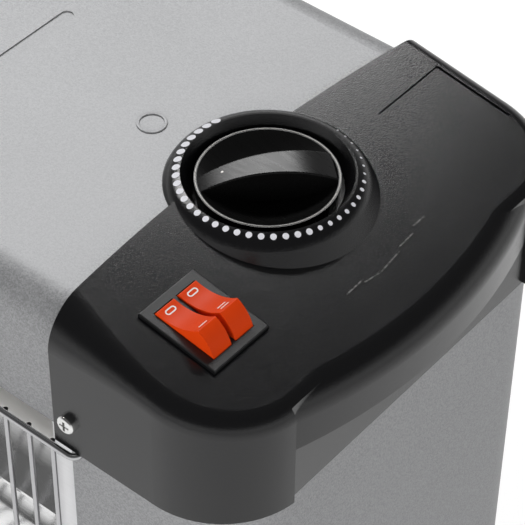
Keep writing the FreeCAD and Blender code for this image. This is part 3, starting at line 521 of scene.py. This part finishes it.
# Modelling bench
class Bench:
    """Edit-mode work on one new piece."""

    def __init__(self, name: str, add: Callable[..., object], **sizes: object) -> None:
        """Adds a primitive with nothing else selected."""
        bpy.ops.object.select_all(action="DESELECT")
        add(**sizes)
        self.piece = bpy.context.active_object
        self.piece.name = name
        self.piece.data.name = name

    def focus(self) -> None:
        """Makes this piece the only selected one, in object mode."""
        if bpy.context.object and bpy.context.object.mode != "OBJECT":
            bpy.ops.object.mode_set(mode="OBJECT")
        bpy.ops.object.select_all(action="DESELECT")
        self.piece.select_set(True)
        bpy.context.view_layer.objects.active = self.piece

    def pick(self, kind: str, test: Callable[[Vector, Vector], bool]) -> None:
        """Selects faces or vertices by place and normal, and stays in edit mode.

        Args:
            kind: FACE or VERT.
            test: Takes the centre and the normal, and says what is selected.
        """
        self.focus()
        bpy.ops.object.mode_set(mode="EDIT")
        bpy.ops.mesh.select_mode(type=kind)
        bpy.ops.mesh.select_all(action="DESELECT")
        bpy.ops.object.mode_set(mode="OBJECT")
        if kind == "FACE":
            for face in self.piece.data.polygons:
                face.select = test(face.center, face.normal)
        else:
            for vertex in self.piece.data.vertices:
                vertex.select = test(vertex.co, vertex.normal)
        bpy.ops.object.mode_set(mode="EDIT")

    def pick_all(self) -> None:
        """Selects the whole piece in edit mode."""
        self.pick("FACE", lambda centre, normal: True)
        bpy.ops.mesh.select_all(action="SELECT")

    def extrude(self, x: float, y: float, z: float) -> None:
        """Extrudes the selected faces by a step."""
        bpy.ops.mesh.extrude_region_move(TRANSFORM_OT_translate={"value": (x, y, z)})

    def outward(self) -> None:
        """Merges doubles and points every face outwards."""
        self.pick_all()
        bpy.ops.mesh.remove_doubles(threshold=MERGE_GAP)
        bpy.ops.mesh.normals_make_consistent(inside=False)
        self.focus()

    def modify(self, kind: str, **settings: object) -> None:
        """Adds a modifier and applies it."""
        self.focus()
        modifier = self.piece.modifiers.new(kind.title(), kind)
        for key, value in settings.items():
            setattr(modifier, key, value)
        bpy.ops.object.modifier_apply(modifier=modifier.name)

    def move(self, place: Matrix) -> None:
        """Places the piece and applies its place to its mesh."""
        self.focus()
        self.piece.matrix_world = place
        bpy.ops.object.transform_apply(location=True, rotation=True, scale=True)

    def copy(self, place: Matrix) -> bpy.types.Object:
        """Makes a copy with its own mesh at a place."""
        self.focus()
        bpy.ops.object.duplicate(linked=False)
        twin = bpy.context.active_object
        twin.matrix_world = place
        bpy.ops.object.transform_apply(location=True, rotation=True, scale=True)
        return twin

    def gather(self, twins: Sequence[bpy.types.Object]) -> None:
        """Joins copies into one piece in place of the pattern."""
        name = self.piece.name
        bpy.data.objects.remove(self.piece)
        bpy.ops.object.select_all(action="DESELECT")
        for twin in twins:
            twin.select_set(True)
        bpy.context.view_layer.objects.active = twins[0]
        bpy.ops.object.join()
        self.piece = twins[0]
        self.piece.name = name
        self.piece.data.name = name

    def done(self, finish: Finishes, body: Body, slot: Slot, *nodes: str) -> bpy.types.Object:
        """Finishes the piece: shading, material, body and the nodes that it stands for.

        Args:
            finish: Finish of the piece.
            body: Body that it rides on.
            slot: Slot of the record; not used.
            *nodes: Nodes of the frame that it replaces.

        Returns:
            The finished piece.
        """
        self.focus()
        bpy.ops.object.shade_smooth_by_angle(angle=math.radians(SMOOTH_DEG))
        self.piece.data.materials.clear()
        self.piece.data.materials.append(finish.material)
        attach(self.piece, body.value)
        if nodes:
            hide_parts(*nodes)
        log.info("%s rides on %s", self.piece.name, body.value)
        return self.piece


def flat_band(name: str, inner: float, outer: float, height: float, sides: int) -> Bench:
    """Low ring with softened edges, standing on the plane z = 0.

    Args:
        name: Name of the piece.
        inner: Inner radius.
        outer: Outer radius.
        height: Height of the ring.
        sides: Number of sides.

    Returns:
        The bench that holds the ring.
    """
    bench = Bench(name, bpy.ops.mesh.primitive_circle_add, vertices=sides, radius=outer,
                  fill_type="NGON")
    bench.pick_all()
    bpy.ops.mesh.inset(thickness=outer - inner)
    bpy.ops.mesh.delete(type="FACE")
    bench.pick_all()
    bench.extrude(0.0, 0.0, height)
    bench.outward()
    bench.modify("BEVEL", width=height * EDGE_SHARE, segments=EDGE_STEPS, limit_method="ANGLE")
    return bench


def facing(outward: Vector, place: Vector) -> Matrix:
    """Place that turns a piece's +Z to a direction."""
    return Matrix.Translation(place) @ UP.rotation_difference(outward).to_matrix().to_4x4()


def lay_on(bench: Bench, node: str, thickness: float) -> None:
    """Drops a flat sheet onto a node of the frame and gives it a print's thickness.

    Args:
        bench: Holds the sheet, above the node and facing up.
        node: Node that carries it.
        thickness: Thickness of the print.
    """
    bench.modify("SHRINKWRAP", target=frame["nodes"][node], wrap_method="PROJECT",
                 use_project_z=True, use_negative_direction=True, use_positive_direction=False,
                 offset=PRINT_GAP)
    bench.modify("SOLIDIFY", thickness=thickness, offset=1.0)


# Sub-assemblies
@dataclass
class Casing:
    """Painted sheet body with the plain ring on its top."""

    ring_x: float = DIAL.x - 47.0 * MM
    ring_y: float = DIAL.y - 3.0 * MM
    ring_radius: float = 5.25 * MM
    ring_stroke: float = 1.1 * MM
    ring_height: float = 0.45 * MM
    ring_sides: int = 48

    def build(self) -> None:
        """Dresses the sheets and adds the ring."""
        for node in ("top_shell", "right_side_panel", "left_side_panel"):
            dress(node, Finishes.SILVER)
        dress("rear_panel", Finishes.REAR_SILVER)
        dress("base_pan", Finishes.REAR_SILVER)
        self.top_ring()

    def top_ring(self) -> bpy.types.Object:
        """Plain raised ring on the top sheet."""
        bench = flat_band("top_ring", self.ring_radius - self.ring_stroke, self.ring_radius,
                          self.ring_height, self.ring_sides)
        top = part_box("top_shell")[1].z
        bench.move(Matrix.Translation((self.ring_x, self.ring_y, top)))
        return bench.done(Finishes.SILVER, Body.CASING, Slot.PAINT)


@dataclass(frozen=True)
class DotGroup:
    """Run of dots whose size goes evenly from the first to the last."""

    count: int
    first: float
    last: float

    def sizes(self) -> list[float]:
        """Size of each dot."""
        step = (self.last - self.first) / (self.count - 1)
        return [self.first + step * index for index in range(self.count)]


@dataclass
class ControlHousing:
    """Moulded end caps and the printed dots round the dial."""

    groups: tuple[DotGroup, ...] = (
        DotGroup(14, 3.2 * MM, 2.2 * MM), DotGroup(10, 2.15 * MM, 2.1 * MM),
        DotGroup(8, 1.6 * MM, 1.35 * MM), DotGroup(7, 0.9 * MM, 0.65 * MM),
    )
    dot_sides: int = 20
    dot_insets: tuple[float, ...] = (0.1, 0.15, 0.15)
    first_deg: float = 165.5
    pitch_deg: float = 7.3
    ring_radius: float = 30.3 * MM
    ring_x: float = 0.35 * MM
    ring_y: float = 0.8 * MM

    def build(self) -> None:
        """Dresses both caps and prints the dots."""
        dress("control_housing", Finishes.HOUSING)
        dress("left_cap", Finishes.CAP)
        self.dial_dots()

    def dial_dots(self) -> bpy.types.Object:
        """Printed dots on the crest of the dial, in four runs of falling size."""
        pattern = Bench("dial_dots", bpy.ops.mesh.primitive_circle_add, vertices=self.dot_sides,
                        radius=0.5, fill_type="NGON")
        pattern.pick_all()
        for width in self.dot_insets:
            bpy.ops.mesh.inset(thickness=width)
        centre = Matrix.Translation(DIAL + Vector((self.ring_x, self.ring_y, DROP_HEIGHT)))
        reach = Matrix.Translation((self.ring_radius, 0.0, 0.0))
        twins = []
        for index, size in enumerate(size for group in self.groups for size in group.sizes()):
            turn = Matrix.Rotation(math.radians(self.first_deg + self.pitch_deg * index), 4, "Z")
            scale = Matrix.Diagonal((size, size, 1.0, 1.0))
            twins.append(pattern.copy(centre @ turn @ reach @ scale))
        pattern.gather(twins)
        lay_on(pattern, "control_housing", PRINT_THICKNESS)
        return pattern.done(Finishes.PRINT, Body.CASING, Slot.NYLON)


@dataclass
class DialKnob:
    """Thermostat knob with its rim line, which is a painted highlight, and its pointer dot."""

    rim_height: float = 1.7 * MM
    rim_inner: float = 23.2 * MM
    rim_outer: float = 23.5 * MM
    line_height: float = 0.12 * MM
    line_sides: int = 128
    pointer_x: float = -10.3 * MM
    pointer_y: float = -10.4 * MM
    pointer_size: float = 0.85 * MM
    pointer_sides: int = 20
    pointer_inset: float = 0.2
    pointer_thickness: float = 0.08 * MM

    def build(self) -> None:
        """Dresses the knob and the thermostat and adds the painted rim highlight and the pointer
        dot.
        """
        dress("knob", Finishes.KNOB)
        dress("thermostat_shaft", Finishes.BRASS)
        dress("thermostat_body", Finishes.PHENOLIC)
        dress("thermostat_nut", Finishes.ZINC)
        self.rim_highlight()
        self.pointer()

    def rim_highlight(self) -> bpy.types.Object:
        """Paler line round the rim: a painted highlight on the rim's rounded edge."""
        bench = flat_band("knob_rim_highlight", self.rim_inner, self.rim_outer, self.line_height,
                          self.line_sides)
        bench.move(Matrix.Translation(DIAL + Vector((0.0, 0.0, self.rim_height))))
        return bench.done(Finishes.RIM_HIGHLIGHT, Body.DIAL, Slot.CHROME)

    def pointer(self) -> bpy.types.Object:
        """Small printed dot near the pointing end of the bar."""
        bench = Bench("knob_pointer_dot", bpy.ops.mesh.primitive_circle_add,
                      vertices=self.pointer_sides, radius=self.pointer_size / 2, fill_type="NGON")
        bench.pick_all()
        bpy.ops.mesh.inset(thickness=self.pointer_size * self.pointer_inset)
        place = DIAL + Vector((self.pointer_x, self.pointer_y, DROP_HEIGHT))
        bench.move(Matrix.Translation(place))
        lay_on(bench, "knob", self.pointer_thickness)
        return bench.done(Finishes.SYMBOL, Body.DIAL, Slot.NYLON)


@dataclass
class RockerSwitch:
    """Twin rocker switch with its printed symbols."""

    zero_length: float = 4.2 * MM
    zero_width: float = 2.1 * MM
    zero_sides: int = 32
    stroke: float = 0.45 * MM
    bar_length: float = 3.6 * MM
    bar_stroke: float = 0.4 * MM
    bar_pitch: float = 1.4 * MM
    bar_cuts: int = 3
    zero_offset: float = -8.0 * MM
    bar_offset: float = 4.9 * MM

    def build(self) -> None:
        """Dresses the switch and prints both rockers."""
        dress("switch_frame", Finishes.BEZEL)
        dress("switch_terminals", Finishes.BRASS)
        sides = (("front", Body.FRONT_ROCKER, 1), ("rear", Body.REAR_ROCKER, 2))
        for index, (side, body, bars) in enumerate(sides):
            node = f"rocker_{side}"
            dress(node, Finishes.ROCKER)
            axis = Vector(frame["joints"][index + 1]["pos_m"])
            self.zero(f"{side}_zero", node, body, axis)
            self.bars(f"{side}_bars", node, body, axis, bars)

    def zero(self, name: str, node: str, body: Body, axis: Vector) -> bpy.types.Object:
        """Outlined zero at the pressed end of a rocker.

        Args:
            name: Name of the piece.
            node: Rocker that carries it.
            body: Body of that rocker.
            axis: Point on the rocker's axis.

        Returns:
            The printed zero.
        """
        bench = Bench(name, bpy.ops.mesh.primitive_circle_add, vertices=self.zero_sides,
                      radius=self.zero_width / 2, fill_type="NGON")
        half = (self.zero_length - self.zero_width) / 2
        for sign in (-1.0, 1.0):
            bench.pick("VERT", lambda place, normal: place.y * sign > TINY)
            bpy.ops.transform.translate(value=(0.0, sign * half, 0.0))
        bench.pick_all()
        bpy.ops.mesh.inset(thickness=self.stroke)
        bpy.ops.mesh.delete(type="FACE")
        bench.move(Matrix.Translation(axis + Vector((self.zero_offset, 0.0, DROP_HEIGHT))))
        lay_on(bench, node, PRINT_THICKNESS)
        return bench.done(Finishes.SYMBOL, body, Slot.NYLON)

    def bars(self, name: str, node: str, body: Body, axis: Vector, count: int) -> bpy.types.Object:
        """One or two bars at the raised end of a rocker.

        Args:
            name: Name of the piece.
            node: Rocker that carries them.
            body: Body of that rocker.
            axis: Point on the rocker's axis.
            count: Number of bars.

        Returns:
            The printed bars.
        """
        bench = Bench(name, bpy.ops.mesh.primitive_plane_add, size=1.0)
        bench.pick_all()
        bpy.ops.transform.resize(value=(self.bar_stroke, self.bar_length, 1.0),
                                 center_override=(0.0, 0.0, 0.0))
        bpy.ops.mesh.subdivide(number_cuts=self.bar_cuts)
        twins = []
        for index in range(count):
            offset = self.bar_offset - index * self.bar_pitch
            twins.append(bench.copy(Matrix.Translation(axis + Vector((offset, 0.0, DROP_HEIGHT)))))
        bench.gather(twins)
        lay_on(bench, node, PRINT_THICKNESS)
        return bench.done(Finishes.SYMBOL, body, Slot.NYLON)


@dataclass
class HeatingUnit:
    """Reflector, tubes and wound elements behind the guard."""

    wire_radius: float = 0.35 * MM
    pitch: float = 1.7 * MM
    steps: int = 12
    wire_sides: int = 6
    lead_sides: int = 12
    lead_scale: float = 1.8
    lead_turns: int = 4
    lead_edge: float = 0.5

    def build(self) -> None:
        """Dresses the reflector and tubes and winds both elements."""
        looks = {"reflector": Finishes.POLISHED, "right_cheek": Finishes.BRUSHED,
                 "left_cheek": Finishes.BRUSHED, "upper_quartz_tube": Finishes.QUARTZ,
                 "lower_quartz_tube": Finishes.QUARTZ, "ceramic_end_caps": Finishes.CERAMIC,
                 "right_tube_bracket": Finishes.ZINC, "left_tube_bracket": Finishes.ZINC,
                 "thermal_cutout": Finishes.PHENOLIC, "guard": Finishes.CHROME}
        for node, finish in looks.items():
            dress(node, finish)
        for level in ("upper", "lower"):
            self.winding(f"{level}_heating_coil")

    def winding(self, node: str) -> bpy.types.Object:
        """Wound resistance wire with straight leads, in the space of the plain element.

        Args:
            node: Element that it stands for.

        Returns:
            The wound element.
        """
        low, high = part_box(node)
        centre = (low + high) / 2
        radius = (high.z - low.z) / 2 - self.wire_radius
        tube_low, tube_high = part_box(node.replace("heating_coil", "quartz_tube"))
        lead = (high.x - low.x - (tube_high.x - tube_low.x)) / 2 + self.lead_turns * self.pitch
        turns = int((high.x - low.x - 2 * lead) / self.pitch)
        wire = Bench(f"{node}_winding", bpy.ops.mesh.primitive_circle_add,
                     vertices=self.wire_sides, radius=self.wire_radius,
                     location=(0.0, 0.0, radius), rotation=(QUARTER_TURN, 0.0, 0.0))
        wire.move(wire.piece.matrix_world.copy())
        wire.modify("SCREW", axis="X", screw_offset=self.pitch, iterations=turns,
                    steps=self.steps, render_steps=self.steps, use_smooth_shade=True)
        wire.outward()
        wire.move(Matrix.Translation((-turns * self.pitch / 2, 0.0, 0.0)))
        leads = []
        for sign in (-1.0, 1.0):
            rod = Bench("lead", bpy.ops.mesh.primitive_cylinder_add, vertices=self.lead_sides,
                        radius=self.wire_radius * self.lead_scale, depth=lead,
                        rotation=(0.0, QUARTER_TURN, 0.0))
            rod.move(rod.piece.matrix_world.copy())
            rod.pick("FACE", lambda middle, normal: normal.x * sign < -FACING)
            bpy.ops.transform.translate(value=(-sign * self.pitch, 0.0, 0.0))
            rod.modify("BEVEL", width=self.wire_radius * self.lead_edge, segments=EDGE_STEPS,
                       limit_method="ANGLE")
            rod.move(Matrix.Translation((sign * ((high.x - low.x) / 2 - lead / 2), 0.0, 0.0)))
            leads.append(rod.piece)
        wire.focus()
        for rod in leads:
            rod.select_set(True)
        bpy.ops.object.join()
        wire.move(Matrix.Translation(centre))
        return wire.done(Finishes.NICHROME, Body.CASING, Slot.WIRE, node)


@dataclass
class BaseParts:
    """Feet, tip-over switch, terminal block and cord inlet."""

    def build(self) -> None:
        """Dresses the pieces in and under the base."""
        looks = {"right_foot": Finishes.FOOT, "left_foot": Finishes.FOOT,
                 "foot_pads": Finishes.RUBBER, "tip_switch_housing": Finishes.GLAND,
                 "tip_switch_plunger": Finishes.NYLON, "terminal_block": Finishes.NYLON,
                 "cable_gland": Finishes.GLAND}
        for node, finish in looks.items():
            dress(node, finish)


@dataclass
class Fasteners:
    """Cross-head screws in place of the plain ones."""

    head_radius: float = 3.4 * MM
    head_height: float = 2.3 * MM
    head_sides: int = 32
    dome: float = 1.0 * MM
    dome_steps: int = 5
    arm: float = 2.0 * MM
    slot_half: float = 0.42 * MM
    recess: float = 1.3 * MM
    taper: float = 0.55
    shank_radius: float = 1.7 * MM
    shank_length: float = 6.5 * MM

    def build(self) -> None:
        """Puts modelled screws where the frame has plain ones."""
        for node in ("cap_screws", "side_panel_screws", "rear_panel_screws", "foot_screws"):
            self.group(node, self.places(node))

    def places(self, node: str) -> list[Matrix]:
        """Seats of the screws of a node, worked out from its box.

        Args:
            node: Node that holds the plain screws.

        Returns:
            One place for each screw, under its head.
        """
        low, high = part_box(node)
        r, h = self.head_radius, self.head_height
        middle = (low + high) / 2
        xs, ys = (low.x + r, high.x - r), (low.y + r, high.y - r)
        if node == "foot_screws":
            seats = [(Vector((x, y, low.z + h)), -UP) for x in xs for y in ys]
        elif node == "rear_panel_screws":
            zs = (low.z + r, middle.z, high.z - r)
            seats = [(Vector((x, high.y - h, z)), BACK) for x in xs for z in zs]
        elif node == "cap_screws":
            ends = ((low.y + h, -BACK), (high.y - h, BACK))
            seats = [(Vector((x, y, middle.z)), outward) for x in xs for y, outward in ends]
        else:
            ends = ((low.x + h, -RIGHT), (high.x - h, RIGHT))
            seats = [(Vector((x, y, middle.z)), outward) for y in ys for x, outward in ends]
        return [facing(outward, seat) for seat, outward in seats]

    def pattern(self, name: str) -> Bench:
        """One pan-head screw with a cross recess, its seat on the plane z = 0.

        Args:
            name: Name of the piece.

        Returns:
            The bench that holds the screw.
        """
        h = self.head_height

        def on_top(centre: Vector, normal: Vector) -> bool:
            """Tells whether a face lies on the flat top of the head."""
            return normal.z > FLAT and centre.z > h * (1 - END_SHARE)

        def on_cross(centre: Vector, normal: Vector) -> bool:
            """Tells whether a face of the top lies inside the cross."""
            near, far = sorted((abs(centre.x), abs(centre.y)))
            return on_top(centre, normal) and near < self.slot_half and far < self.arm

        def on_seat(centre: Vector, normal: Vector) -> bool:
            """Tells whether a face lies on the underside of the head."""
            return normal.z < -FACING and centre.z < h * END_SHARE

        bench = Bench(name, bpy.ops.mesh.primitive_cylinder_add, vertices=self.head_sides,
                      radius=self.head_radius, depth=h, location=(0.0, 0.0, h / 2),
                      end_fill_type="NGON")
        bench.move(bench.piece.matrix_world.copy())
        bench.pick("FACE", lambda centre, normal: normal.z > FACING)
        bpy.ops.mesh.bevel(offset=self.dome, segments=self.dome_steps, affect="EDGES")
        for axis in (0, 1):
            for cut in (-self.arm, -self.slot_half, self.slot_half, self.arm):
                bench.pick("FACE", on_top)
                place, normal = [0.0, 0.0, h], [0.0, 0.0, 0.0]
                place[axis], normal[axis] = cut, 1.0
                bpy.ops.mesh.bisect(plane_co=place, plane_no=normal)
        bench.pick("FACE", on_cross)
        bench.extrude(0.0, 0.0, -self.recess)
        bpy.ops.transform.resize(value=(self.taper, self.taper, 1.0),
                                 center_override=(0.0, 0.0, h - self.recess))
        bench.pick("FACE", on_seat)
        bpy.ops.mesh.inset(thickness=self.head_radius - self.shank_radius)
        bench.extrude(0.0, 0.0, -self.shank_length)
        return bench

    def group(self, node: str, places: Sequence[Matrix]) -> bpy.types.Object:
        """All screws of one node as one piece.

        Args:
            node: Node that they stand for.
            places: Seats of the screws.

        Returns:
            The joined screws.
        """
        bench = self.pattern(f"{node}_cross_head")
        bench.gather([bench.copy(place) for place in places])
        return bench.done(Finishes.SCREW, Body.CASING, Slot.STEEL, node)


# Studio
@dataclass(frozen=True)
class PhotoCamera:
    """Camera at the photograph's viewing angle."""

    azimuth_deg: float = 39.248
    elevation_deg: float = 44.37
    roll_deg: float = 0.603
    focal_px: float = 2358.8
    frame_px: float = 525.0
    sensor_mm: float = 36.0
    place: Point = (0.5529, -0.43385, 0.85724)

    def build(self) -> None:
        """Adds the camera and makes it the scene's."""
        angles = (self.azimuth_deg, self.elevation_deg, self.roll_deg)
        a, e, r = (math.radians(angle) for angle in angles)
        back = Vector((math.sin(a) * math.cos(e), -math.cos(a) * math.cos(e), math.sin(e)))
        right = Vector((math.cos(a), math.sin(a), 0.0))
        up = back.cross(right)
        across = right * math.cos(r) + up * math.sin(r)
        upright = up * math.cos(r) - right * math.sin(r)
        data = bpy.data.cameras.new("photo_camera")
        data.sensor_width = self.sensor_mm
        data.lens = self.focal_px / self.frame_px * data.sensor_width
        camera = bpy.data.objects.new("photo_camera", data)
        bpy.context.scene.collection.objects.link(camera)
        turn = Matrix((across, upright, back)).transposed().to_4x4()
        camera.matrix_world = Matrix.Translation(self.place) @ turn
        bpy.context.scene.camera = camera


@dataclass(frozen=True)
class Softbox:
    """Soft studio lamp aimed at a point of the heater."""

    name: str
    place: Point
    target: Point
    width: float
    height: float
    power: float
    mirrored: bool = True

    def build(self) -> None:
        """Adds the lamp, which shows in gloss only where it is mirrored."""
        data = bpy.data.lights.new(self.name, "AREA")
        data.shape = "RECTANGLE"
        data.size, data.size_y, data.energy = self.width, self.height, self.power
        lamp = bpy.data.objects.new(self.name, data)
        bpy.context.scene.collection.objects.link(lamp)
        lamp.visible_glossy = self.mirrored
        aim = Vector(self.target) - Vector(self.place)
        turn = aim.to_track_quat("-Z", "Y").to_matrix().to_4x4()
        lamp.matrix_world = Matrix.Translation(self.place) @ turn


@dataclass(frozen=True)
class Studio:
    """White studio: camera, lamps, world and pale floor."""

    lamps: tuple[Softbox, ...] = (
        Softbox("rear_strip", (-0.68, 0.636, 1.393), (0.2, 0.02, 0.345), width=1.45, height=0.3,
                power=20.0),
        Softbox("front_fill", (0.402, -1.396, 0.614), (0.05, -0.09, 0.25), width=1.0, height=0.5,
                power=12.0, mirrored=False),
        Softbox("right_fill", (1.48, -0.3, 0.78), (0.2, 0.0, 0.3), width=0.8, height=0.8,
                power=5.5, mirrored=False),
    )
    ambient: float = 0.8
    overhead: float = 0.12
    sky_low: float = 0.05
    sky_high: float = 0.45
    floor_size: float = 12.0
    floor_colour: Colour = (0.5, 0.5, 0.5)
    floor_glow: float = 0.62
    floor_gap: float = 0.2 * MM
    floor_roughness: float = 0.9
    floor_gloss: float = 0.1

    def build(self) -> None:
        """Sets up the camera, the lamps, the world and the floor."""
        bpy.context.scene.view_settings.view_transform = "Standard"
        PhotoCamera().build()
        for lamp in self.lamps:
            lamp.build()
        self.world()
        self.floor()

    def world(self) -> None:
        """White world to look at, softer to light with and dimmer overhead."""
        world = bpy.data.worlds.new("studio")
        bpy.context.scene.world = world
        graph = Graph(world, "Background", "Generated")
        height = graph.parts(graph.place)[2]
        graph.shade(Color=graph.spread(height, 1.0, self.overhead, self.sky_low, self.sky_high),
                    Strength=graph.spread(graph.seen(), self.ambient, 1.0))

    def floor(self) -> None:
        """Pale floor under the pads."""
        bench = Bench("floor", bpy.ops.mesh.primitive_plane_add, size=self.floor_size)
        bench.move(Matrix.Translation((0.0, 0.0, CAD_BOX[0].z - self.floor_gap)))
        material = bpy.data.materials.new("pale_floor")
        graph = Graph(material)
        graph.shade(Base_Color=(*self.floor_colour, 1.0), Roughness=self.floor_roughness,
                    Specular_IOR_Level=self.floor_gloss, Emission_Color=WHITE,
                    Emission_Strength=graph.calc("MULTIPLY", graph.seen(), self.floor_glow))
        bench.piece.data.materials.append(material)


def main() -> None:
    """Builds the heater's sub-assemblies and the studio round them."""
    logging.basicConfig(level=logging.INFO, format="%(name)s: %(message)s")
    for assembly in (Casing(), ControlHousing(), DialKnob(), RockerSwitch(), HeatingUnit(),
                     BaseParts(), Fasteners(), Studio()):
        assembly.build()


if __name__ == "__main__":
    main()
